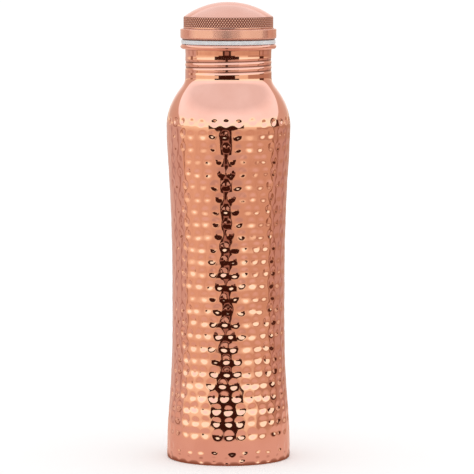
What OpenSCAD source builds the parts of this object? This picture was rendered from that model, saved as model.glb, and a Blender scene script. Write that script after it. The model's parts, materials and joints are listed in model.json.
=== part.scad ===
// Hammered copper water bottle with a domed screw cap.
// Millimetres, +Z up. The origin is the centre of the foot, on the surface the bottle stands on.
// Every copper piece is formed from sheet, so each outline is a curve and its offset by the sheet.

/* [Body] */
// Diameter of the foot
base_d = 74.8; // [73:0.2:77]
// Diameter of the waist, the narrowest stretch of the body
waist_d = 68.4; // [66:0.2:72]
// Diameter of the shoulder at its widest
shoulder_d = 75; // [74:0.2:78]
// Height of the widest point of the shoulder
shoulder_z = 202; // [180:1:220]
// Thickness of the copper sheet
sheet_t = 0.5; // [0.4:0.05:0.7]

/* [Neck] */
// Outer diameter of the neck
neck_d = 52.2; // [52:0.1:53]
// Outer diameter of the rolled lip
lip_d = 58; // [57.6:0.1:58.6]
// Height of the sealing lip above the widest point of the shoulder
neck_rise = 49.9; // [48:0.1:56]
// Advance of the screw thread in one turn
thread_pitch = 3.1; // [3:0.1:3.5]
// Full turns of the thread rolled into the neck
thread_turns = 3; // [2:0.25:3]
// Depth of the thread rolled into the neck
thread_depth = 0.8; // [0.7:0.05:0.85]

/* [Cap] */
// Diameter of the grip band
band_d = 54.2; // [53.6:0.1:55]
// Height of the cap from the gasket to the top of the grip band
band_top_rise = 13.2; // [12:0.1:16]
// Radius of the dome
dome_r = 45.4; // [42:0.1:60]
// Diameter of the smooth collar
collar_d = 58; // [57.6:0.1:58.6]
// Height of the smooth collar
collar_h = 7; // [5:0.1:8]
// Thickness of the silicone gasket
gasket_t = 2.5; // [2:0.1:3.5]
// Depth that the threaded plug reaches below the lip
plug_depth = 17.5; // [17.2:0.1:19]

/* [Hidden] */
$fn = 96;

copper = [0.88, 0.56, 0.44];
copper_dark = [0.80, 0.48, 0.36];
silicone = [0.86, 0.86, 0.85];

base_r = base_d / 2;
waist_r = waist_d / 2;
shoulder_r = shoulder_d / 2;
neck_r = neck_d / 2;
bore_r = neck_r - sheet_t;

// The body narrows between these heights, and the waist is straight between the second and third
foot_z = 6;
waist_low_z = 0.416 * shoulder_z;
waist_high_z = 0.53 * shoulder_z;
foot_round = 1.2;
foot_hole_r = base_r - 4.2;

// The shoulder leans in to a knee, and a fillet takes it up to the neck
shoulder_lean = 53;
neck_z = shoulder_z + 29.5;
knee = [neck_r + 3.5, neck_z - 7.3];

// The lip is rolled outwards into a flat-topped bead
lip_z = shoulder_z + neck_rise;
lip_round = 1.5;
lip_inner_r = bore_r + lip_round;
lip_outer_r = lip_d / 2 - lip_round;

// The rolled thread: a groove outside and the same depth of ridge inside
thread_z = neck_z + 3.2;
thread_start = 180;
groove_half_w = 0.8;
ridge_half_w = 0.95;
crest_half_w = 0.28;
thread_steps = 32;
thread_fade = 0.2;

// The plug clears the neck's ridge by this much everywhere
plug_clearance = 0.3;
plug_crest_r = bore_r - plug_clearance - 0.05;
plug_r = bore_r - thread_depth - plug_clearance;
plug_low_z = lip_z - plug_depth;
plug_round = 1;
plug_thread_turns = 4.25;

seat_z = lip_z + gasket_t;
band_r = band_d / 2;
band_top_z = seat_z + band_top_rise;
crown_round = 1.2;
collar_r = collar_d / 2;
collar_top_z = seat_z + collar_h;

// Points of an arc about c, from angle a0 to a1 in n steps
function arc(c, r, a0, a1, n) =
    [for (i = [0 : n]) let (a = a0 + (a1 - a0) * i / n) c + r * [cos(a), sin(a)]];

// Points of a cubic Bezier curve, without its last point
function bezier(p0, p1, p2, p3, n) =
    [for (i = [0 : n - 1]) let (t = i / n, s = 1 - t)
        s * s * s * p0 + 3 * s * s * t * p1 + 3 * s * t * t * p2 + t * t * t * p3];

// A curve that leaves and arrives vertically, with handles as shares of the rise
function upright(p0, p1, h0, h1, n) =
    let (dz = [0, p1.y - p0.y]) bezier(p0, p0 + h0 * dz, p1 - h1 * dz, p1, n);

// The curve's inner side, one sheet thickness to its left
function inner_side(pts, t) =
    [for (i = [0 : len(pts) - 1])
        let (a = pts[max(i - 1, 0)],
             b = pts[min(i + 1, len(pts) - 1)],
             d = (b - a) / norm(b - a))
        pts[i] + t * [-d.y, d.x]];

function reversed(pts) = [for (i = [len(pts) - 1 : -1 : 0]) pts[i]];

// A direction in the profile plane that leans inwards and climbs
function lean(angle) = [-cos(angle), sin(angle)];

// The outer curve of the body, from the foot's vertical wall up to the neck
function body_curve() = concat(
    upright([base_r, foot_z], [waist_r, waist_low_z], 0.35, 0.6, 14),
    upright([waist_r, waist_high_z], [shoulder_r, shoulder_z], 0.57, 0.18, 16),
    bezier([shoulder_r, shoulder_z], [shoulder_r, shoulder_z + 9.2],
        knee - 6.5 * lean(shoulder_lean), knee, 12),
    bezier(knee, knee + 3.2 * lean(shoulder_lean), [neck_r, neck_z - 2.9], [neck_r, neck_z], 7),
    [[neck_r, neck_z], [neck_r, lip_z - lip_round]]);

// A trapezium that follows a helix about Z. Its base has radius base and its crest rises to
// crest, or sinks to it. The crest fades to level at both ends. The helix starts at angle start.
module helix_ridge(base, crest, level, base_half_w, crest_half_w, z, turns, start) {
    steps = ceil(turns * thread_steps);
    rings = [for (i = [0 : steps])
        let (turn = i / thread_steps,
             fade = min(1, turn / thread_fade, (steps / thread_steps - turn) / thread_fade),
             r = level + (crest - level) * fade,
             a = start + 360 * turn,
             mid = z + thread_pitch * turn)
        for (p = [[base, -base_half_w], [r, -crest_half_w], [r, crest_half_w], [base, base_half_w]])
            [p.x * cos(a), p.x * sin(a), mid + p.y]];
    sides = [for (i = [0 : steps - 1], k = [0 : 3])
        let (a = 4 * i + k, b = 4 * i + (k + 1) % 4)
        each [[a, b, b + 4], [a, b + 4, a + 4]]];
    last = 4 * steps;
    ends = [[0, 2, 1], [0, 3, 2], [last, last + 1, last + 2], [last, last + 2, last + 3]];
    outward = crest > base;
    faces = concat(sides, ends);
    polyhedron(rings, outward ? faces : [for (f = faces) reversed(f)]);
}

// The hammered shell: foot, body, shoulder, neck with its rolled thread, and lip in one piece
module body_shell() {
    wall = body_curve();
    foot = arc([base_r - foot_round, foot_round], foot_round, -90, 0, 5);
    foot_inside = arc([base_r - foot_round, foot_round], foot_round - sheet_t, -90, 0, 5);
    color(copper) difference() {
        union() {
            rotate_extrude() polygon(concat(
                [[foot_hole_r, 0]], foot, wall,
                reversed(inner_side(wall, sheet_t)), reversed(foot_inside), [[foot_hole_r, sheet_t]]));
            rotate_extrude() {
                translate([lip_inner_r, lip_z - lip_round]) circle(lip_round);
                translate([lip_outer_r, lip_z - lip_round]) circle(lip_round);
                translate([lip_inner_r, lip_z - 2 * lip_round])
                    square([lip_outer_r - lip_inner_r, 2 * lip_round]);
            }
            helix_ridge(bore_r + 0.3, bore_r - thread_depth, bore_r + 0.1, ridge_half_w,
                crest_half_w, thread_z, thread_turns, thread_start);
        }
        helix_ridge(neck_r + 0.3, neck_r - thread_depth, neck_r + 0.1, groove_half_w,
            crest_half_w, thread_z, thread_turns, thread_start);
    }
}

// The dished disc brazed into the foot. Its rim stands inside the wall
module base_disc() {
    rim_r = base_r - sheet_t;
    rim_top_z = 4;
    floor_r = rim_r - 3.5;
    dish_rise = 2.6;
    dish_r = (floor_r * floor_r + dish_rise * dish_rise) / (2 * dish_rise);
    edge_a = acos(floor_r / dish_r);
    centre = [0, sheet_t + dish_rise - dish_r];
    corner_r = foot_round - sheet_t;
    color(copper_dark) rotate_extrude() polygon(concat(
        arc(centre, dish_r, 90, edge_a, 8),
        arc([rim_r - corner_r, sheet_t + corner_r], corner_r, -90, 0, 5),
        [[rim_r, rim_top_z], [rim_r - sheet_t, rim_top_z], [rim_r - sheet_t, 2 * sheet_t]],
        arc(centre, dish_r + sheet_t, edge_a, 90, 8)));
}

// The silicone ring between the lip and the cap
module gasket() {
    r0 = plug_r + plug_clearance;
    r1 = collar_r - 0.5;
    edge = 0.5;
    color(silicone) rotate_extrude() polygon(concat(
        [[r0, lip_z]],
        arc([r1 - edge, lip_z + edge], edge, -90, 0, 4),
        arc([r1 - edge, seat_z - edge], edge, 0, 90, 4),
        [[r0, seat_z]]));
}

// The closed cup that screws into the neck. Its flange carries the crown and the collar
module thread_plug() {
    corner = [plug_r - plug_round, plug_low_z + plug_round];
    flange_z = seat_z + sheet_t;
    inner_r = plug_r - sheet_t;
    // Half a pitch away from the ridge in the neck, so that the two threads pass each other
    plug_thread_z = thread_z + thread_pitch / 2;
    color(copper_dark) union() {
        rotate_extrude() polygon(concat(
            [[0, plug_low_z]],
            arc(corner, plug_round, -90, 0, 6),
            [[plug_r, seat_z], [band_r, seat_z], [band_r, flange_z], [inner_r, flange_z]],
            arc(corner, plug_round - sheet_t, 0, -90, 6),
            [[0, plug_low_z + sheet_t]]));
        helix_ridge(plug_r - 0.3, plug_crest_r, plug_r - 0.1, ridge_half_w - 0.15, crest_half_w,
            plug_thread_z, plug_thread_turns, thread_start);
    }
}

// The smooth ring that closes over the foot of the crown
module cap_collar() {
    chamfer = [1.5, 1.4];
    top_round = 0.4;
    step = 0.5;
    color(copper) rotate_extrude() polygon(concat(
        [[band_r, seat_z], [collar_r - chamfer.x, seat_z], [collar_r, seat_z + chamfer.y]],
        arc([collar_r - top_round, collar_top_z - step - top_round], top_round, 0, 90, 4),
        [[band_r, collar_top_z]]));
}

// The dome with the grip band below it, pressed from one sheet
module cap_crown() {
    side_a = asin((band_r - crown_round) / (dome_r - crown_round));
    corner = [band_r - crown_round, band_top_z];
    centre = [0, band_top_z - (dome_r - crown_round) * cos(side_a)];
    foot = seat_z + sheet_t;
    color(copper) rotate_extrude() polygon(concat(
        [[band_r, foot]],
        arc(corner, crown_round, 0, 90 - side_a, 5),
        arc(centre, dome_r, 90 - side_a, 90, 16),
        arc(centre, dome_r - sheet_t, 90, 90 - side_a, 16),
        arc(corner, crown_round - sheet_t, 90 - side_a, 0, 5),
        [[band_r - sheet_t, foot]]));
}

body_shell();
base_disc();
gasket();
thread_plug();
cap_collar();
cap_crown();
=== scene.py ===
"""Hammered copper water bottle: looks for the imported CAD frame, in metres, +Z up."""

import json
import math

import bpy
import numpy as np
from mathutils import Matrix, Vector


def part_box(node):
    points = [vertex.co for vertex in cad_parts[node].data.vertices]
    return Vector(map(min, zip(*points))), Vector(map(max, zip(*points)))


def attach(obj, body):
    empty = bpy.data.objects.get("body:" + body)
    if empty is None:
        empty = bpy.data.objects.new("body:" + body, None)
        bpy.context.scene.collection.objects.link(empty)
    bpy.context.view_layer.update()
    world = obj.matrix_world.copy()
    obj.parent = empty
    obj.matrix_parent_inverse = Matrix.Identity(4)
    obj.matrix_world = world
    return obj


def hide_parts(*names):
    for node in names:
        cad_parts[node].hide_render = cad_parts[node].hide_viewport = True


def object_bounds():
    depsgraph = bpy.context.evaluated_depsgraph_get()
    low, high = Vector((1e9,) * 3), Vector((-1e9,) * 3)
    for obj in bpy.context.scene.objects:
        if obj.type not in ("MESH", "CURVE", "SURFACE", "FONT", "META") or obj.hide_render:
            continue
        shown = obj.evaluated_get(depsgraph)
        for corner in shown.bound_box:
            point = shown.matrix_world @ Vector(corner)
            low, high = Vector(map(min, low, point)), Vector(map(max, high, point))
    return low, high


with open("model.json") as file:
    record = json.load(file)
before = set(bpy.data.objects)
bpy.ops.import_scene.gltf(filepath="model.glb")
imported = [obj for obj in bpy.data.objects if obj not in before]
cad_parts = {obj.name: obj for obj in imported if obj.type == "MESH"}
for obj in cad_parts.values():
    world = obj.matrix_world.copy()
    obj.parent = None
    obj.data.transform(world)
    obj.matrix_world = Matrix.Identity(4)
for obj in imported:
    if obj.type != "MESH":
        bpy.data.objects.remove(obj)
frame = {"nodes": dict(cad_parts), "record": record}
cad_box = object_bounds()

MM = 0.001
TAU = 2 * math.pi

# ------------------------------------------------------------ sizes read from the frame

# Everything from this far under the lip's top is neck
NECK_H = 20 * MM
# A ring of the CAD mesh with more vertices than this goes all the way round
WHOLE_RING = 100
# Vertices this close to the deepest or the highest one of a thread are on its crest
CREST = 0.03 * MM
# Vertices this close to a piece's largest radius are on its widest part
WIDEST = 0.01 * MM
# A vertex whose facing is over this is on the outside
OUTWARDS = 0.3
# A vertex whose facing is under this is in a bore
INWARDS = -0.9


def cad_points(node):
    """A CAD node's vertices, their radii, and their facing: 1 is straight out from the axis."""
    mesh = frame["nodes"][node].data
    points = np.array([v.co for v in mesh.vertices], float)
    normals = np.array([v.normal for v in mesh.vertices], float)
    radius = np.hypot(points[:, 0], points[:, 1])
    facing = (points[:, :2] * normals[:, :2]).sum(1) / np.maximum(radius, 1e-9)
    return points, radius, facing


def widest_between(node, low, high):
    """The largest radius of a node's vertices between two heights."""
    points, radius, _ = cad_points(node)
    return radius[(points[:, 2] > low) & (points[:, 2] < high)].max()


GASKET_LOW, GASKET_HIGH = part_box("gasket")
PLUG_LOW, PLUG_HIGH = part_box("thread_plug")
COLLAR_LOW, COLLAR_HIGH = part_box("cap_collar")
CROWN_LOW, CROWN_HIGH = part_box("cap_crown")

SHEET = PLUG_HIGH.z - COLLAR_LOW.z
LIP_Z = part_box("body_shell")[1].z
LIP_ROUND = 1.5 * MM
LIP_FOOT = LIP_Z - 2 * LIP_ROUND
LIP_R = widest_between("body_shell", LIP_FOOT, LIP_Z)
SEAT_Z = COLLAR_LOW.z
COLLAR_R = COLLAR_HIGH.x
BAND_R = CROWN_HIGH.x
GASKET_R = GASKET_HIGH.x

# The cap's rise in one turn is the thread's pitch
PITCH = frame["record"]["behaviour"]["couplings"][0]["ratio"] * TAU


def body_outline():
    """Heights and radii of the rings that the CAD body is drawn through, below its neck."""
    points, radius, facing = cad_points("body_shell")
    heights = np.round(points[:, 2], 6)
    outside = (facing > OUTWARDS) & (heights < LIP_Z - NECK_H)
    z, count = np.unique(heights[outside], return_counts=True)
    z = z[count > WHOLE_RING]
    r = np.array([radius[outside & (heights == h)].max() for h in z])
    return z, r


def neck_thread():
    """The depth of the neck's groove, and its helix's height at angle 0 and at both ends."""
    points, radius, facing = cad_points("body_shell")
    height = points[:, 2]
    neck = (height > LIP_Z - NECK_H) & (height < LIP_FOOT - 2 * MM) & (facing > OUTWARDS)
    floor_r = radius[neck].min()
    groove = points[neck & (radius < floor_r + CREST)]
    angle = np.arctan2(groove[:, 1], groove[:, 0])
    phase = (groove[:, 2] / PITCH - angle / TAU) * TAU
    turn = math.atan2(np.sin(phase).mean(), np.cos(phase).mean()) / TAU
    return NECK_R - floor_r, turn * PITCH, groove[:, 2].min(), groove[:, 2].max()


BODY_Z, BODY_R = body_outline()
NECK_Z = BODY_Z[-1]
NECK_R = BODY_R[-1]
BORE_R = NECK_R - SHEET
THREAD_DEPTH, *NECK_THREAD = neck_thread()

# ------------------------------------------------------------ mesh tools


def join_rings(a, count_a, b, count_b):
    """Faces between two rings, each given by its first vertex and its count of vertices. The
    counts are equal, or one is twice the other or is 1. Two poles need no faces."""
    faces = []
    if count_a == count_b == 1:
        return faces
    if count_a == count_b:
        for i in range(count_a):
            j = (i + 1) % count_a
            faces.append((a + i, a + j, b + j, b + i))
    elif count_b == 1:
        faces = [(a + i, a + (i + 1) % count_a, b) for i in range(count_a)]
    elif count_a == 1:
        faces = [(a, b + (i + 1) % count_b, b + i) for i in range(count_b)]
    elif count_a == 2 * count_b:
        for i in range(count_b):
            j = (i + 1) % count_b
            left, middle, right = a + 2 * i, a + 2 * i + 1, a + (2 * i + 2) % count_a
            faces += [(left, middle, b + i), (middle, b + j, b + i), (middle, right, b + j)]
    else:
        for i in range(count_a):
            j = (i + 1) % count_a
            left, middle, right = b + 2 * i, b + 2 * i + 1, b + (2 * i + 2) % count_b
            faces += [(a + i, middle, left), (a + i, a + j, middle), (a + j, right, middle)]
    return faces


def mesh_of_rings(name, rings):
    """A smooth-shaded mesh through rings of points (x, y, z, share of tarnish and painted shade),
    the last joined back to the first. That share becomes an attribute, which the copper paints
    dark as tarnish and shade."""
    starts = np.cumsum([0] + [len(points) for points in rings])
    faces = []
    for i in range(len(rings)):
        j = (i + 1) % len(rings)
        faces += join_rings(starts[i], len(rings[i]), starts[j], len(rings[j]))
    points = np.concatenate(rings)
    mesh = bpy.data.meshes.new(name)
    mesh.from_pydata(points[:, :3].tolist(), [], faces)
    mesh.shade_smooth()
    tarnish_and_shade = mesh.attributes.new("tarnish_and_shade", "FLOAT", "POINT")
    tarnish_and_shade.data.foreach_set("value", points[:, 3].astype(np.float32))
    piece = bpy.data.objects.new(name, mesh)
    bpy.context.scene.collection.objects.link(piece)
    return piece


def angles(count):
    return np.arange(count) * TAU / count


def ring(r, z, count, tarnish_and_shade=0.0):
    """A ring of points. Radius, height and the share of tarnish and painted shade may be arrays,
    one value for each point.
    """
    a = angles(count)
    spread_z, spread_shade = np.broadcast_to(z, a.shape), np.broadcast_to(tarnish_and_shade, a.shape)
    return np.column_stack([r * np.cos(a), r * np.sin(a), spread_z, spread_shade])


def pole(z):
    """A ring shrunk to one point on the axis."""
    return np.array([[0, 0, z, 0]])


def plain_rings(outline, count):
    """A level ring for each point (r, z) of an outline."""
    return [ring(r, z, count) for r, z in outline]


def arc(centre, radius, start, end, steps):
    """Points (r, z) of an arc, its angles in degrees."""
    turn = np.radians(np.linspace(start, end, steps + 1))
    return [(centre[0] + radius * math.cos(a), centre[1] + radius * math.sin(a)) for a in turn]


def rounded(corners, steps=5, support=0.12 * MM):
    """A closed outline through corners (r, z, round). Each rounded corner becomes an arc with a
    point close to each end, which keeps the flats beside it flat when they are smooth-shaded."""
    outline = []
    count = len(corners)
    for i, (r, z, size) in enumerate(corners):
        here = np.array([r, z])
        if size == 0:
            outline.append(here)
            continue
        before = np.array(corners[i - 1][:2]) - here
        after = np.array(corners[(i + 1) % count][:2]) - here
        before /= np.linalg.norm(before)
        after /= np.linalg.norm(after)
        half = math.acos(float(np.clip(before @ after, -1, 1))) / 2
        cut = size / math.tan(half)
        middle = (before + after) / np.linalg.norm(before + after)
        centre = here + middle * size / math.sin(half)
        start = here + before * cut - centre
        end = here + after * cut - centre
        outline.append(here + before * (cut + support))
        sweep = math.pi - 2 * half
        for t in np.linspace(0, 1, steps + 1):
            towards = start * math.sin((1 - t) * sweep) + end * math.sin(t * sweep)
            outline.append(centre + towards / math.sin(sweep))
        outline.append(here + after * (cut + support))
    return outline


def lathe(name, outline, count, tarnish_and_shade=lambda r, z: 0.0):
    """A closed outline turned about the axis. Its share of tarnish and painted shade is a function
    of radius and height.
    """
    return mesh_of_rings(name, [ring(r, z, count, tarnish_and_shade(r, z)) for r, z in outline])


# ------------------------------------------------------------ the screw thread

THREAD_STEP = 0.27 * MM
# Turns over which each end of a thread fades out
THREAD_FADE = 0.2
# Half the width of the ridge in the neck, and of the one on the plug
NECK_RIDGE = 1.45 * MM
PLUG_RIDGE = 1.15 * MM


def thread_bump(z, count, half_width, phase, low, high):
    """A thread's share of its full depth at heights z, around a ring of count points. Its helix is
    at height phase at angle 0, and runs from low to high."""
    a = angles(count)[None, :] / TAU
    nearest = np.round((z[:, None] - phase) / PITCH - a)
    centre = phase + PITCH * (nearest + a)
    to_end = np.minimum(centre - low, high - centre) / PITCH
    fade = np.clip(to_end / THREAD_FADE + 0.5, 0, 1)
    wave = 0.5 + 0.5 * np.cos(np.pi * np.clip((z[:, None] - centre) / half_width, -1, 1))
    return wave * fade


# ------------------------------------------------------------ the hammered shell

SEED = 11
MARKS_AROUND = 32
ROW_PITCH = 7.49 * MM
FIRST_ROW = 19.0 * MM
ROWS = 25
# Heights, and the radius or the depth of the regular rows' marks there
MARK_RADIUS = (60 * MM, 110 * MM, 190 * MM), (3.3 * MM, 3.1 * MM, 2.9 * MM)
MARK_DEPTH = (60 * MM, 100 * MM, 190 * MM), (0.46 * MM, 0.30 * MM, 0.27 * MM)
# Rows apart from the regular field: height, marks around, radius, depth
EXTRA_ROWS = (
    (3.6 * MM, 27, 2.8 * MM, 0.34 * MM),
    (8.9 * MM, 27, 3.2 * MM, 0.36 * MM),
    (206.4 * MM, 31, 2.4 * MM, 0.50 * MM),
)
# How far each mark strays: around in shares of the spacing, up, and in shares of its size
STRAY_AROUND = 0.09
STRAY_UP = 0.3 * MM
STRAY_RADIUS = 0.07
STRAY_DEPTH = 0.14
# How far a mark's floor tilts, how far its three lobes stick out, and how softly it ends
TILT = 0.12
LOBES = 0.1
SOFTNESS = 1.7
# A lobed mark reaches this many of its radii
MARK_REACH = 1.2
# The hollow along each row of marks: its depth, and heights with its share of that depth there
TROUGH_DEPTH = 0.065 * MM
TROUGH_FADE = (45 * MM, 85 * MM), (0, 1)
# The slow waves in the sheet: how many, how deep, how many times round, and how far apart
RIPPLES = 14
RIPPLE_DEPTH = 0.011 * MM
RIPPLE_TURNS = 3, 14
RIPPLE_LENGTH = 18 * MM, 50 * MM

# The hammered stretch of the wall, and the step and count of its mesh
HAMMER_LOW = 1.2 * MM
HAMMER_HIGH = 212 * MM
HAMMER_STEP = 0.8 * MM
HAMMER_COUNT = 304
NECK_COUNT = HAMMER_COUNT // 2
INSIDE_COUNT = HAMMER_COUNT // 4

FOOT_ROUND = 1.2 * MM
# The wall is upright below this height
FOOT_Z = 6 * MM
# Width of the sheet folded in under the foot
FOOT_RIM = 4.2 * MM
# The grooves as they show outside the neck, and how far its waist is drawn in above them
GROOVE_DEPTH = 0.30 * MM
NECK_WAIST = 0.16 * MM
WAIST_Z = LIP_FOOT - 3.7 * MM
WAIST_WIDTH = 1.6 * MM
# How far the painted shade under the lip reaches down
LIP_SHADE = 1.2 * MM


def body_radius(z):
    """The smooth radius of the body at heights z: a cubic through the CAD's rings."""
    slope = np.gradient(BODY_R, BODY_Z)
    i = np.clip(np.searchsorted(BODY_Z, z) - 1, 0, len(BODY_Z) - 2)
    h = BODY_Z[i + 1] - BODY_Z[i]
    t = (z - BODY_Z[i]) / h
    s = 1 - t
    return (
        BODY_R[i] * s * s * (1 + 2 * t)
        + BODY_R[i + 1] * t * t * (3 - 2 * t)
        + h * slope[i] * t * s * s
        - h * slope[i + 1] * t * t * s
    )


def hammer_marks():
    """The hammer marks: angle, height, radius, depth, two tilts, and the turn of their lobes."""
    random = np.random.RandomState(SEED)
    rows = []
    for n in range(ROWS):
        z = FIRST_ROW + ROW_PITCH * n
        depth = np.interp(z, *MARK_DEPTH) * random.uniform(0.85, 1.15)
        rows.append((z, MARKS_AROUND, np.interp(z, *MARK_RADIUS), depth))
    marks = []
    for row_z, count, row_radius, row_depth in rows + list(EXTRA_ROWS):
        phase = random.uniform()
        for n in range(count):
            shift, rise, growth, strength, tilt_u, tilt_v, turn = random.normal(size=7)
            angle = (n + phase + STRAY_AROUND * shift) * TAU / count
            z = row_z + STRAY_UP * rise
            radius = row_radius * (1 + STRAY_RADIUS * growth)
            depth = row_depth * (1 + STRAY_DEPTH * strength)
            marks.append((angle, z, radius, depth, TILT * tilt_u, TILT * tilt_v, 3 * turn))
    return marks


def hammer_depth(z, count):
    """How deep the hammer marks go at heights z, around a ring of count points."""
    depth = np.zeros((len(z), count))
    a = angles(count)
    for angle, height, radius, deepest, tilt_u, tilt_v, lobes in hammer_marks():
        rows = np.where(abs(z - height) < MARK_REACH * radius)[0]
        if len(rows) == 0:
            continue
        girth = body_radius(np.array([height]))[0]
        away = (a - angle + math.pi) % TAU - math.pi
        near = np.where(abs(away) * girth < MARK_REACH * radius)[0]
        u = (away[near] * girth / radius)[None, :]
        v = ((z[rows] - height) / radius)[:, None]
        away_squared = (u * u + v * v) * (1 + LOBES * np.cos(3 * np.arctan2(v, u) + lobes))
        bowl = np.clip(1 - away_squared, 0, 1) ** SOFTNESS * (1 + tilt_u * u + tilt_v * v)
        window = np.ix_(rows, near)
        depth[window] = np.maximum(depth[window], deepest * bowl)
    return depth


def ripple(z, count):
    """The slow waves that hammering leaves in the sheet, around a ring of count points."""
    random = np.random.RandomState(SEED)
    a = angles(count)[None, :]
    height = np.zeros((len(z), count))
    for _ in range(RIPPLES):
        waves_around = random.randint(*RIPPLE_TURNS)
        wave = TAU / random.uniform(*RIPPLE_LENGTH) * random.choice((-1, 1))
        height += np.cos(waves_around * a + wave * z[:, None] + random.uniform(0, TAU))
    return RIPPLE_DEPTH * height


def row_trough(z, count):
    """The hollow that each row of blows leaves, deeper and shallower around the body, with a soft
    ridge between it and the next row."""
    random = np.random.RandomState(SEED)
    a = angles(count)[None, :]
    depth = np.zeros((len(z), count))
    for n in range(ROWS):
        height = FIRST_ROW + ROW_PITCH * n
        strength = 0.8 + 0.35 * np.cos(random.randint(3, 9) * a + random.uniform(0, TAU))
        v = (z[:, None] - height) / (ROW_PITCH / 2)
        share = np.interp(height, *TROUGH_FADE) * strength
        depth += TROUGH_DEPTH * share * np.clip(1 - v * v, 0, 1)
    return depth


def sunk_rings(z, depth, count):
    """Rings at heights z of the body's outline, each moved in by its depth, square to the wall."""
    r = body_radius(z)
    slope = np.gradient(r, z)
    rings = []
    for i in range(len(z)):
        inwards = depth[i] / math.sqrt(1 + slope[i] * slope[i])
        rings.append(ring(r[i] - inwards, z[i] + inwards * slope[i], count))
    return rings


def foot_corner():
    """The centre of the foot's rounded corner, and the radius of the hole under the foot."""
    base_r = body_radius(np.array([FOOT_Z]))[0]
    return (base_r - FOOT_ROUND, FOOT_ROUND), base_r - FOOT_RIM


def outside_rings():
    """The foot's corner, the hammered body and the smooth shoulder, from the bottom up."""
    corner, hole_r = foot_corner()
    rings = [ring(hole_r, 0, NECK_COUNT)]
    rings += plain_rings(arc(corner, FOOT_ROUND, -90, -10, 5), HAMMER_COUNT)
    z = np.arange(HAMMER_LOW, HAMMER_HIGH, HAMMER_STEP)
    # The ripple fades out at both ends, where the wall meets plain rings
    fade = np.clip(np.minimum(z - HAMMER_LOW, HAMMER_HIGH - z) / (4 * MM), 0, 1)[:, None]
    depth = hammer_depth(z, HAMMER_COUNT) + row_trough(z, HAMMER_COUNT)
    rings += sunk_rings(z, depth + ripple(z, HAMMER_COUNT) * fade, HAMMER_COUNT)
    shoulder = np.linspace(HAMMER_HIGH + MM, NECK_Z, 16)
    return rings + plain_rings(zip(body_radius(shoulder), shoulder), NECK_COUNT)


def neck_rings():
    """The neck, with tarnish and painted shade in the grooves of its thread, and painted shade
    under the lip.
    """
    z = np.arange(NECK_Z + 0.6 * MM, LIP_FOOT - 0.3 * MM, THREAD_STEP)
    groove = thread_bump(z, NECK_COUNT, PITCH / 2, *NECK_THREAD)
    waist = NECK_WAIST * np.exp(-0.5 * ((z - WAIST_Z) / WAIST_WIDTH) ** 2)
    under_lip_shade = np.clip((z - LIP_FOOT + LIP_SHADE) / LIP_SHADE, 0, 1) ** 2
    rings = []
    for i in range(len(z)):
        # Tarnish and painted shade along the thread's grooves, and painted shade under the lip
        tarnish_and_shade = np.maximum(0.9 * groove[i] ** 5, 0.7 * under_lip_shade[i])
        rings.append(ring(NECK_R - GROOVE_DEPTH * groove[i] - waist[i], z[i], NECK_COUNT, tarnish_and_shade))
    return rings


def lip_rings():
    """The rolled lip, from under it, over its flat top and down into the bore."""
    outer = (LIP_R - LIP_ROUND, LIP_Z - LIP_ROUND)
    inner = (BORE_R + LIP_ROUND, LIP_Z - LIP_ROUND)
    fillet = [(NECK_R, LIP_FOOT - 0.1 * MM), (NECK_R + 0.12 * MM, LIP_FOOT + 0.03 * MM)]
    bead = arc(outer, LIP_ROUND, -100, 90, 14) + arc(inner, LIP_ROUND, 90, 180, 7)
    return plain_rings(fillet + bead, NECK_COUNT)


def inside_rings():
    """The bore with the thread's ridge, and the inside of the body down to the foot."""
    z = np.arange(LIP_FOOT, NECK_Z, -0.5 * MM)
    ridge = THREAD_DEPTH * thread_bump(z, NECK_COUNT, NECK_RIDGE, *NECK_THREAD)
    rings = [ring(BORE_R - ridge[i], z[i], NECK_COUNT) for i in range(len(z))]
    shoulder = np.linspace(NECK_Z, HAMMER_HIGH, 12)
    body = np.linspace(HAMMER_HIGH, FOOT_Z, 45)[1:]
    z = np.concatenate([shoulder, body])
    rings += sunk_rings(z, np.full(len(z), SHEET), INSIDE_COUNT)
    corner, hole_r = foot_corner()
    rings += plain_rings(arc(corner, FOOT_ROUND - SHEET, 0, -90, 4), INSIDE_COUNT)
    return rings + [ring(hole_r, SHEET, NECK_COUNT)]


def hammered_shell():
    """The whole shell as one closed sheet: foot, hammered body, shoulder, threaded neck and lip."""
    rings = outside_rings() + neck_rings() + lip_rings() + inside_rings()
    return mesh_of_rings("hammered_shell", rings)


# ------------------------------------------------------------ the cap and the gasket

CROWN_ROUND = 1.2 * MM
DIAMONDS_AROUND = 104
DIAMONDS_HIGH = 3
DIAMOND_H = 2.2 * MM
DIAMOND_STEPS = 8
KNURL_DEPTH = 0.40 * MM
# Share of each diamond that is left uncut
KNURL_FLAT = 0.52
KNURL_LOW = COLLAR_HIGH.z + 0.6 * MM
KNURL_COUNT = DIAMONDS_AROUND * DIAMOND_STEPS
COLLAR_COUNT = 256
GASKET_COUNT = 192
PLUG_COUNT = 160
PLUG_ROUND = 1.0 * MM


def knurl(along):
    """How deep the diamond knurl is cut, as a share, around the ring this far up the knurl. It
    fades out within a tenth of a diamond at both ends."""
    u = np.arange(KNURL_COUNT) / DIAMOND_STEPS
    v = along / DIAMOND_H
    right = abs((u + v) % 1 - 0.5) * 2
    left = abs((u - v) % 1 - 0.5) * 2
    edge = np.clip(min(v, DIAMONDS_HIGH - v) * 10, 0, 1)
    return np.clip((np.maximum(right, left) - KNURL_FLAT) / (1 - KNURL_FLAT), 0, 1) * edge


def knurl_bend(along, band_top):
    """The angle, in radians, that the knurl has bent over the crown's corner, this far up it."""
    return max(0, (KNURL_LOW + along - band_top) / CROWN_ROUND)


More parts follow.
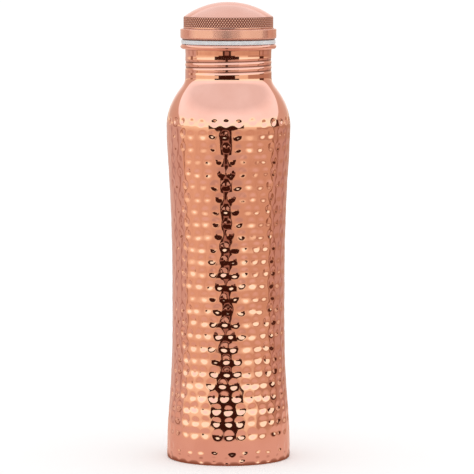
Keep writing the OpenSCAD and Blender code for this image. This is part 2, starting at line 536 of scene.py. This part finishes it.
def knurl_rings(band_top):
    """The knurl, with tarnish and painted shade in its cuts, up the grip band and over the corner
    above it.
    """
    rings = []
    for along in np.linspace(0, DIAMONDS_HIGH, DIAMONDS_HIGH * DIAMOND_STEPS + 1) * DIAMOND_H:
        bend = knurl_bend(along, band_top)
        out = CROWN_ROUND - KNURL_DEPTH * knurl(along)
        height = min(KNURL_LOW + along, band_top) + out * math.sin(bend)
        # All but the shallowest sixth of a cut is darkened fully, as tarnish and painted shade
        tarnish_and_shade = np.clip(6 * knurl(along), 0, 1)
        rings.append(ring(BAND_R - CROWN_ROUND + out * math.cos(bend), height, KNURL_COUNT, tarnish_and_shade))
    return rings


def knurled_crown():
    """The dome and the grip band under it, pressed from one sheet."""
    points, radius, _ = cad_points("cap_crown")
    band_top = points[radius > BAND_R - WIDEST, 2].max()
    rise = CROWN_HIGH.z - band_top
    corner = (BAND_R - CROWN_ROUND, band_top)
    dome_r = (corner[0] ** 2 + rise ** 2 - CROWN_ROUND ** 2) / (2 * (rise - CROWN_ROUND))
    dome = (0, CROWN_HIGH.z - dome_r)
    # Where the corner's arc runs into the dome's, and where the knurl stops on the corner
    side = 90 - math.degrees(math.asin(corner[0] / (dome_r - CROWN_ROUND)))
    knurl_end = math.degrees(knurl_bend(DIAMONDS_HIGH * DIAMOND_H, band_top))

    count = KNURL_COUNT // 4
    below = [(BAND_R, CROWN_LOW.z), (BAND_R, KNURL_LOW - 0.3 * MM)]
    rings = plain_rings(below, count) + [ring(BAND_R, KNURL_LOW - 0.1 * MM, 2 * count)]
    rings += knurl_rings(band_top)
    above = arc(corner, CROWN_ROUND, knurl_end, side, 3)
    rings += plain_rings(above[1:2], 2 * count) + plain_rings(above[2:], count)
    rings += plain_rings(arc(dome, dome_r, side, 88, 22)[1:], count)
    rings += [pole(CROWN_HIGH.z), pole(CROWN_HIGH.z - SHEET)]
    inside = arc(dome, dome_r - SHEET, 88, side, 8) + arc(corner, CROWN_ROUND - SHEET, side, 0, 4)
    rings += plain_rings(inside + [(BAND_R - SHEET, CROWN_LOW.z)], count)
    return mesh_of_rings("knurled_crown", rings)


def turned_collar():
    """The smooth collar: a bead under the grip band, a plain wall and a chamfer below it. The
    chamfer over the gasket and the top of the bead under the grip band carry painted shade, and
    are rougher."""
    top = COLLAR_HIGH.z

    # Painted shade on the chamfer over the gasket and on the bead's top under the grip band
    def shaded_edges(r, z):
        chamfer = z < SEAT_Z + 1.0 * MM
        bead_top = r < BAND_R + 0.4 * MM and z > top - 0.3 * MM
        return 0.85 if chamfer or bead_top else 0.0

    return lathe("turned_collar", rounded([
        (BAND_R, SEAT_Z, 0),
        (COLLAR_R - 1.5 * MM, SEAT_Z, 0.2 * MM),
        (COLLAR_R, SEAT_Z + 1.4 * MM, 0.5 * MM),
        (COLLAR_R, top - 0.5 * MM, 0.3 * MM),
        (BAND_R + 0.55 * MM, top - 0.28 * MM, 0.15 * MM),
        (BAND_R + 0.35 * MM, top, 0.12 * MM),
        (BAND_R, top, 0),
    ]), COLLAR_COUNT, shaded_edges)


def silicone_ring():
    """The gasket, with soft edges and the fine line that its mould leaves round the middle."""
    bore = cad_points("gasket")[1].min()
    middle = (GASKET_LOW.z + GASKET_HIGH.z) / 2
    line = 0.06 * MM
    return lathe("silicone_ring", rounded([
        (bore, GASKET_LOW.z, 0.3 * MM),
        (GASKET_R - line, GASKET_LOW.z, 0.45 * MM),
        (GASKET_R - line, middle - 2 * line, 0),
        (GASKET_R, middle, 0),
        (GASKET_R - line, middle + 2 * line, 0),
        (GASKET_R - line, GASKET_HIGH.z, 0.45 * MM),
        (bore, GASKET_HIGH.z, 0.3 * MM),
    ]), GASKET_COUNT)


def threaded_cup():
    """The plug: a closed cup with a rounded male thread and a flange on top."""
    points, radius, facing = cad_points("thread_plug")
    root = radius[facing < INWARDS].min() + SHEET
    below = points[:, 2] < SEAT_Z - 1 * MM
    crest = radius[below].max()
    ridge_z = points[below & (radius > crest - CREST), 2]
    corner = (root - PLUG_ROUND, PLUG_LOW.z + PLUG_ROUND)

    rings = [pole(PLUG_LOW.z)]
    under = [4 * MM, 12 * MM, 20 * MM, root - 1.3 * MM]
    rings += plain_rings([(r, PLUG_LOW.z) for r in under], PLUG_COUNT)
    rings += plain_rings(arc(corner, PLUG_ROUND, -90, 0, 6), PLUG_COUNT)
    z = np.arange(corner[1] + 0.2 * MM, SEAT_Z - 0.3 * MM, THREAD_STEP)
    # Half a pitch away from the ridge in the neck, so that the two pass each other
    phase = NECK_THREAD[0] + PITCH / 2
    share = thread_bump(z, PLUG_COUNT, PLUG_RIDGE, phase, ridge_z.min(), ridge_z.max())
    rings += [ring(root + (crest - root) * share[i], z[i], PLUG_COUNT) for i in range(len(z))]
    flange = [(root, SEAT_Z), (PLUG_HIGH.x, SEAT_Z), (PLUG_HIGH.x, PLUG_HIGH.z)]
    inside = [(root - SHEET, PLUG_HIGH.z)] + arc(corner, PLUG_ROUND - SHEET, 0, -90, 4)
    rings += plain_rings(flange + inside, PLUG_COUNT)
    rings.append(pole(PLUG_LOW.z + SHEET))
    return mesh_of_rings("threaded_cup", rings)


# ------------------------------------------------------------ materials

# Stretches of a noise: none, into level lines as a lathe leaves, and into upright wipes
EVEN = (1, 1, 1)
TURNED = (1, 1, 14)
WIPED = (1, 1, 0.35)


def coordinates(tree, scale):
    """The part's own coordinates, so that no material needs UVs, scaled along each axis."""
    where = tree.nodes.new("ShaderNodeTexCoord")
    mapping = tree.nodes.new("ShaderNodeMapping")
    mapping.inputs["Scale"].default_value = scale
    tree.links.new(where.outputs["Object"], mapping.inputs["Vector"])
    return mapping.outputs["Vector"]


def noise(tree, scale, stretch=EVEN, detail=3):
    """Noise with about scale features in a metre, and more along an axis with a high stretch."""
    texture = tree.nodes.new("ShaderNodeTexNoise")
    texture.inputs["Scale"].default_value = scale
    texture.inputs["Detail"].default_value = detail
    tree.links.new(coordinates(tree, stretch), texture.inputs["Vector"])
    return texture.outputs["Fac"]


def spread(tree, value, low, high, start=0.3, end=0.7):
    """Maps a value's span onto low to high. The default span is a noise's usual one."""
    node = tree.nodes.new("ShaderNodeMapRange")
    node.inputs["From Min"].default_value = start
    node.inputs["From Max"].default_value = end
    node.inputs["To Min"].default_value = low
    node.inputs["To Max"].default_value = high
    tree.links.new(value, node.inputs["Value"])
    return node.outputs["Result"]


def calculate(tree, operation, *values):
    """A maths node on numbers or on other nodes' outputs."""
    node = tree.nodes.new("ShaderNodeMath")
    node.operation = operation
    for socket, value in zip(node.inputs, values):
        if isinstance(value, (int, float)):
            socket.default_value = value
        else:
            tree.links.new(value, socket)
    return node.outputs["Value"]


def blend(tree, factor, first, second):
    """A mix of two colours. Each is a triple or another node's output."""
    mix = tree.nodes.new("ShaderNodeMix")
    mix.data_type = "RGBA"
    tree.links.new(factor, mix.inputs["Factor"])
    for socket, colour in (("A", first), ("B", second)):
        if isinstance(colour, tuple):
            mix.inputs[socket].default_value = (*colour, 1)
        else:
            tree.links.new(colour, mix.inputs[socket])
    return mix.outputs["Result"]


def bump(tree, height, distance):
    """Normals bent by a height from 0 to 1, which stands for this distance."""
    node = tree.nodes.new("ShaderNodeBump")
    node.inputs["Distance"].default_value = distance
    tree.links.new(height, node.inputs["Height"])
    return node.outputs["Normal"]


def material(name):
    made = bpy.data.materials.new(name)
    made.use_nodes = True
    return made, made.node_tree, made.node_tree.nodes["Principled BSDF"]


# Dark brown, partly tarnish in the knurl's cuts and the thread's grooves, partly painted shade
# there, under the lip and on the collar's edges
TARNISH_AND_SHADE_COLOUR = (0.13, 0.035, 0.02)
# How much rougher than the polish around it the copper is where tarnish and painted shade are full
TARNISH_AND_SHADE_ROUGH = 0.3


def copper(name, deep, pale, rough, grain, brushed=0.0):
    """Copper with faint clouds in its colour, wiping marks in its polish, a fine grain, and dark,
    rougher copper where the mesh's attribute of tarnish and painted shade says: tarnish and
    painted shade in cuts and grooves, painted shade under the lip and on the collar's edges. Rough
    is its least and greatest roughness, grain is a scale, a stretch and a depth, and brushed is how
    far reflections smear up and down, across level scratches."""
    grain_scale, grain_stretch, grain_depth = grain
    made, tree, shader = material(name)
    shader.inputs["Metallic"].default_value = 1
    shader.inputs["Anisotropic"].default_value = brushed
    shader.inputs["Anisotropic Rotation"].default_value = 0.25
    clouds = blend(tree, spread(tree, noise(tree, 60), 0, 1), deep, pale)
    tarnish_and_shade = tree.nodes.new("ShaderNodeAttribute")
    tarnish_and_shade.attribute_name = "tarnish_and_shade"
    # Tarnish and painted shade darken the colour where the attribute says
    colour = blend(tree, tarnish_and_shade.outputs["Fac"], clouds, TARNISH_AND_SHADE_COLOUR)
    tree.links.new(colour, shader.inputs["Base Color"])
    wiped = spread(tree, noise(tree, 220, stretch=WIPED, detail=5), *rough)
    dull = calculate(tree, "MULTIPLY_ADD", tarnish_and_shade.outputs["Fac"], TARNISH_AND_SHADE_ROUGH, wiped)
    tree.links.new(dull, shader.inputs["Roughness"])
    height = noise(tree, grain_scale, grain_stretch, detail=4)
    tree.links.new(bump(tree, height, grain_depth), shader.inputs["Normal"])
    return made


def silicone(name):
    """Milky silicone: soft, slightly uneven, with a fine moulded skin."""
    made, tree, shader = material(name)
    shader.inputs["Subsurface Weight"].default_value = 0.25
    shader.inputs["Subsurface Scale"].default_value = 1 * MM
    shader.inputs["Subsurface Radius"].default_value = (1.0, 0.9, 0.8)
    clouds = spread(tree, noise(tree, 150), 0, 1)
    colour = blend(tree, clouds, (0.58, 0.59, 0.60), (0.68, 0.68, 0.69))
    tree.links.new(colour, shader.inputs["Base Color"])
    tree.links.new(spread(tree, noise(tree, 400), 0.38, 0.5), shader.inputs["Roughness"])
    tree.links.new(bump(tree, noise(tree, 3000), 0.02 * MM), shader.inputs["Normal"])
    return made


def matt(name, colour):
    """A plain matt paint."""
    made, _, shader = material(name)
    shader.inputs["Base Color"].default_value = (*colour, 1)
    shader.inputs["Roughness"].default_value = 1
    shader.inputs["Specular IOR Level"].default_value = 0
    return made


def warm_floor(name, radius):
    """The floor as the copper mirrors it, a glowing disc that only reflections see: a painted
    shadow under the foot, pink near it, orange and fading out further away."""
    made, tree, _ = material(name)
    where = tree.nodes.new("ShaderNodeTexCoord")
    length = tree.nodes.new("ShaderNodeVectorMath")
    length.operation = "LENGTH"
    tree.links.new(where.outputs["Object"], length.inputs[0])
    away = length.outputs["Value"]
    pink, orange, shade = (0.84, 0.60, 0.50), (0.86, 0.60, 0.46), (0.30, 0.14, 0.09)
    colour = blend(tree, spread(tree, away, 0, 1, 100 * MM, radius), pink, orange)
    # A painted shadow of the bottle under and around its foot
    colour = blend(tree, spread(tree, away, 1, 0, 42 * MM, 58 * MM), colour, shade)
    light = tree.nodes.new("ShaderNodeEmission")
    tree.links.new(colour, light.inputs["Color"])
    clear = tree.nodes.new("ShaderNodeBsdfTransparent")
    mix = tree.nodes.new("ShaderNodeMixShader")
    tree.links.new(spread(tree, away, 0, 1, 0.6 * radius, radius), mix.inputs["Fac"])
    tree.links.new(light.outputs["Emission"], mix.inputs[1])
    tree.links.new(clear.outputs["BSDF"], mix.inputs[2])
    tree.links.new(mix.outputs["Shader"], tree.nodes["Material Output"].inputs["Surface"])
    return made


# ------------------------------------------------------------ the studio

# The room that the copper mirrors. Each area of it is its middle azimuth, half its width, its
# lowest and highest elevation, and how far its edges blur, in degrees. Azimuth 0 is in front,
# towards -Y, and 90 is to the right.
DARK = (0.05, 0.014, 0.008)
# The floor close to the bottle, paler, and duller where the camera shades it
NEAR = (
    ((0, 181, -60, -17, 5), (0.89, 0.67, 0.57)),
    ((0, 30, -45, -14, 3), (0.66, 0.47, 0.38)),
)
# The floor beside and behind the bottle: its area, by how far it is from the front on either
# side, and its colours on the left and on the right
BEHIND = (180, 83, -17, 0, 0.5), (0.75, 0.56, 0.48), (0.66, 0.44, 0.36)
ROOM = (
    # the far floor on the right
    ((112, 58, -5, 0, 1.5), (0.58, 0.36, 0.25)),
    # the tent's poles
    ((-93, 1.5, -40, -3.5, 1.2), (0.45, 0.26, 0.18)),
    ((93, 2.0, -40, -3.5, 1.0), (0.34, 0.17, 0.10)),
    ((-110, 2.5, -14, -3.5, 1.5), (0.50, 0.30, 0.24)),
    ((107, 2.5, -14, -3.5, 1.2), (0.40, 0.21, 0.14)),
    ((-132, 3.5, -14, -3.5, 2.0), (0.55, 0.37, 0.33)),
    ((134, 3.5, -14, -3.5, 2.0), (0.48, 0.29, 0.25)),
    # the dark room, seen through two side flaps
    ((101, 9, -1.5, 7, 0.7), (0.10, 0.035, 0.02)),
    ((-116, 6, -1.5, 3, 0.7), (0.40, 0.23, 0.16)),
    # the camera's stand, with a paler gap between its two legs and the stem over it
    ((-4, 11, -13, 0, 0.6), DARK),
    ((-4, 5.5, -13.5, -6, 0.6), (0.42, 0.23, 0.17)),
    ((-4, 3.6, -40, -9.5, 0.5), DARK),
    # the dark room through the tent's open front
    ((-4, 22, -5, 0, 0.8), DARK),
    ((-4, 33, -1.6, 6, 0.6), DARK),
)
# The top edge of the backdrop behind the bottle: its height over its distance
BACKDROP_SLOPE = 0.62
# The sky that the camera sees, and that lights whatever isn't a mirror
SKY = (1.06, 1.06, 1.06)


def paint(tree, below, azimuth, elevation, area, colour):
    """Paints an area of the room over what is below it."""
    centre, half, low, high, blur = area
    across = calculate(tree, "ABSOLUTE", calculate(tree, "SUBTRACT", azimuth, centre))
    inside = spread(tree, across, 1, 0, half - blur, half + blur)
    above = spread(tree, elevation, 0, 1, low - blur, low + blur)
    under = spread(tree, elevation, 1, 0, high - blur, high + blur)
    mask = calculate(tree, "MULTIPLY", inside, calculate(tree, "MULTIPLY", above, under))
    return blend(tree, mask, below, colour)


def mottled_floor(tree, direction, x, elevation):
    """The floor's warmth from left to right, mottled, and pale along the foot of the tent."""
    warmth = blend(tree, spread(tree, x, 0, 1, -0.8, 0.8), (0.92, 0.66, 0.46), (0.78, 0.53, 0.36))
    mottle = tree.nodes.new("ShaderNodeTexNoise")
    mottle.inputs["Scale"].default_value = 7
    tree.links.new(direction, mottle.inputs["Vector"])
    floor = blend(tree, spread(tree, mottle.outputs["Fac"], 0, 0.45), warmth, (0.66, 0.42, 0.29))
    return blend(tree, spread(tree, elevation, 0, 1, -7, -0.5), floor, (1.14, 1.00, 0.72))


def white_tent(tree, y, z, azimuth, elevation):
    """The tent's brightness by height. A flat backdrop behind hides it, duller at its ends."""
    foot = blend(tree, spread(tree, elevation, 0, 1, 8, 14), (1.30, 1.50, 1.25), (1.30, 1.30, 1.32))
    tent = blend(tree, spread(tree, elevation, 0, 1, 24, 40), foot, (1.0, 1.0, 1.02))
    ends = spread(tree, calculate(tree, "ABSOLUTE", azimuth), 1, 0, 150, 168)
    backdrop = blend(tree, ends, (1.05, 0.90, 0.85), (0.78, 0.58, 0.47))
    above = calculate(tree, "SUBTRACT", z, calculate(tree, "MULTIPLY", y, BACKDROP_SLOPE))
    return blend(tree, spread(tree, above, 1, 0, -0.02, 0.02), tent, backdrop)


def mirrored_room(tree, direction):
    """The tent on its floor, with the areas of NEAR, BEHIND and ROOM painted over them in turn."""
    split = tree.nodes.new("ShaderNodeSeparateXYZ")
    tree.links.new(direction, split.inputs["Vector"])
    x, y, z = split.outputs
    degrees = 360 / TAU
    elevation = calculate(tree, "MULTIPLY", calculate(tree, "ARCSINE", z), degrees)
    turn = calculate(tree, "ARCTAN2", x, calculate(tree, "MULTIPLY", y, -1))
    azimuth = calculate(tree, "MULTIPLY", turn, degrees)

    floor = mottled_floor(tree, direction, x, elevation)
    tent = white_tent(tree, y, z, azimuth, elevation)
    room = blend(tree, spread(tree, elevation, 0, 1, 1.2, 2.2), floor, tent)
    for area, colour in NEAR:
        room = paint(tree, room, azimuth, elevation, area, colour)
    area, left, right = BEHIND
    behind = blend(tree, spread(tree, x, 0, 1, -0.35, 0.35), left, right)
    room = paint(tree, room, calculate(tree, "ABSOLUTE", azimuth), elevation, area, behind)
    for area, colour in ROOM:
        room = paint(tree, room, azimuth, elevation, area, colour)
    return room


FLOOR_R = 40
NEAR_FLOOR_R = 0.32
DISC_COUNT = 72


def disc(name, radius, z, look):
    """A flat round piece of the stage."""
    mesh = bpy.data.meshes.new(name)
    edge = ring(radius, z, DISC_COUNT)[:, :3]
    mesh.from_pydata(edge.tolist(), [], [tuple(range(DISC_COUNT))])
    mesh.materials.append(look)
    piece = bpy.data.objects.new(name, mesh)
    bpy.context.scene.collection.objects.link(piece)
    return piece


def studio():
    """A pale floor under an even white sky. Mirror reflections see the warm room instead, and a
    warm round of floor under the bottle."""
    floor = disc("floor", FLOOR_R, 0, matt("paper", (1, 1, 1)))
    floor.visible_glossy = False
    near = disc("near_floor", NEAR_FLOOR_R, -1 * MM, warm_floor("near_floor", NEAR_FLOOR_R))
    near.visible_camera = False
    near.visible_diffuse = False
    near.visible_shadow = False

    world = bpy.data.worlds.new("studio")
    bpy.context.scene.world = world
    world.use_nodes = True
    tree = world.node_tree
    where = tree.nodes.new("ShaderNodeTexCoord")
    path = tree.nodes.new("ShaderNodeLightPath")
    room = mirrored_room(tree, where.outputs["Generated"])
    sky = blend(tree, path.outputs["Is Glossy Ray"], SKY, room)
    tree.links.new(sky, tree.nodes["Background"].inputs["Color"])


# How far in front of the bottle's axis the camera is, how far right of it, and how high
CAMERA_AWAY = 1.88
CAMERA_RIGHT = 5.2 * MM
CAMERA_HEIGHT = 0.316
# It looks this far below the bottle's middle
AIM_DROP = 4 * MM


def camera():
    """A long lens from slightly above, at the distance that gives the photograph's ellipses."""
    lens = bpy.data.cameras.new("camera")
    lens.lens = 236
    lens.sensor_width = 36
    lens.clip_end = 100
    eye = bpy.data.objects.new("camera", lens)
    bpy.context.scene.collection.objects.link(eye)
    aim_z = (cad_box[0].z + cad_box[1].z) / 2 - AIM_DROP
    down = math.atan2(CAMERA_HEIGHT - aim_z, CAMERA_AWAY)
    eye.location = (CAMERA_RIGHT, -CAMERA_AWAY, CAMERA_HEIGHT)
    eye.rotation_euler = (math.pi / 2 - down, 0, 0)
    bpy.context.scene.camera = eye


# ------------------------------------------------------------ assembly


def add(piece, body, node, look):
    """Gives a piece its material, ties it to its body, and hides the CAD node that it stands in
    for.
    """
    piece.data.materials.append(look)
    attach(piece, body)
    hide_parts(node)


camera()
studio()

CLEAN = (0.81, 0.44, 0.35), (0.87, 0.50, 0.41)
PLAIN = (0.76, 0.39, 0.30), (0.82, 0.45, 0.36)
HAMMERED = 900, EVEN, 0.004 * MM
SPUN = 500, TURNED, 0.003 * MM
SCORED = 500, TURNED, 0.005 * MM
polished = copper("hammered_copper", *CLEAN, rough=(0.03, 0.07), grain=HAMMERED)
spun = copper("spun_copper", *CLEAN, rough=(0.10, 0.17), grain=SPUN)
brushed = copper("brushed_copper", *CLEAN, rough=(0.24, 0.30), grain=SPUN, brushed=0.9)
satin = copper("satin_copper", *PLAIN, rough=(0.18, 0.28), grain=SCORED)
rubber = silicone("silicone")

add(hammered_shell(), "bottle", "body_shell", polished)
add(knurled_crown(), "cap", "cap_crown", spun)
add(turned_collar(), "cap", "cap_collar", brushed)
add(threaded_cup(), "cap", "thread_plug", satin)
add(silicone_ring(), "gasket", "gasket", rubber)

base = frame["nodes"]["base_disc"]
base.data.materials.clear()
base.data.materials.append(satin)

bpy.context.scene.view_settings.view_transform = "Standard"
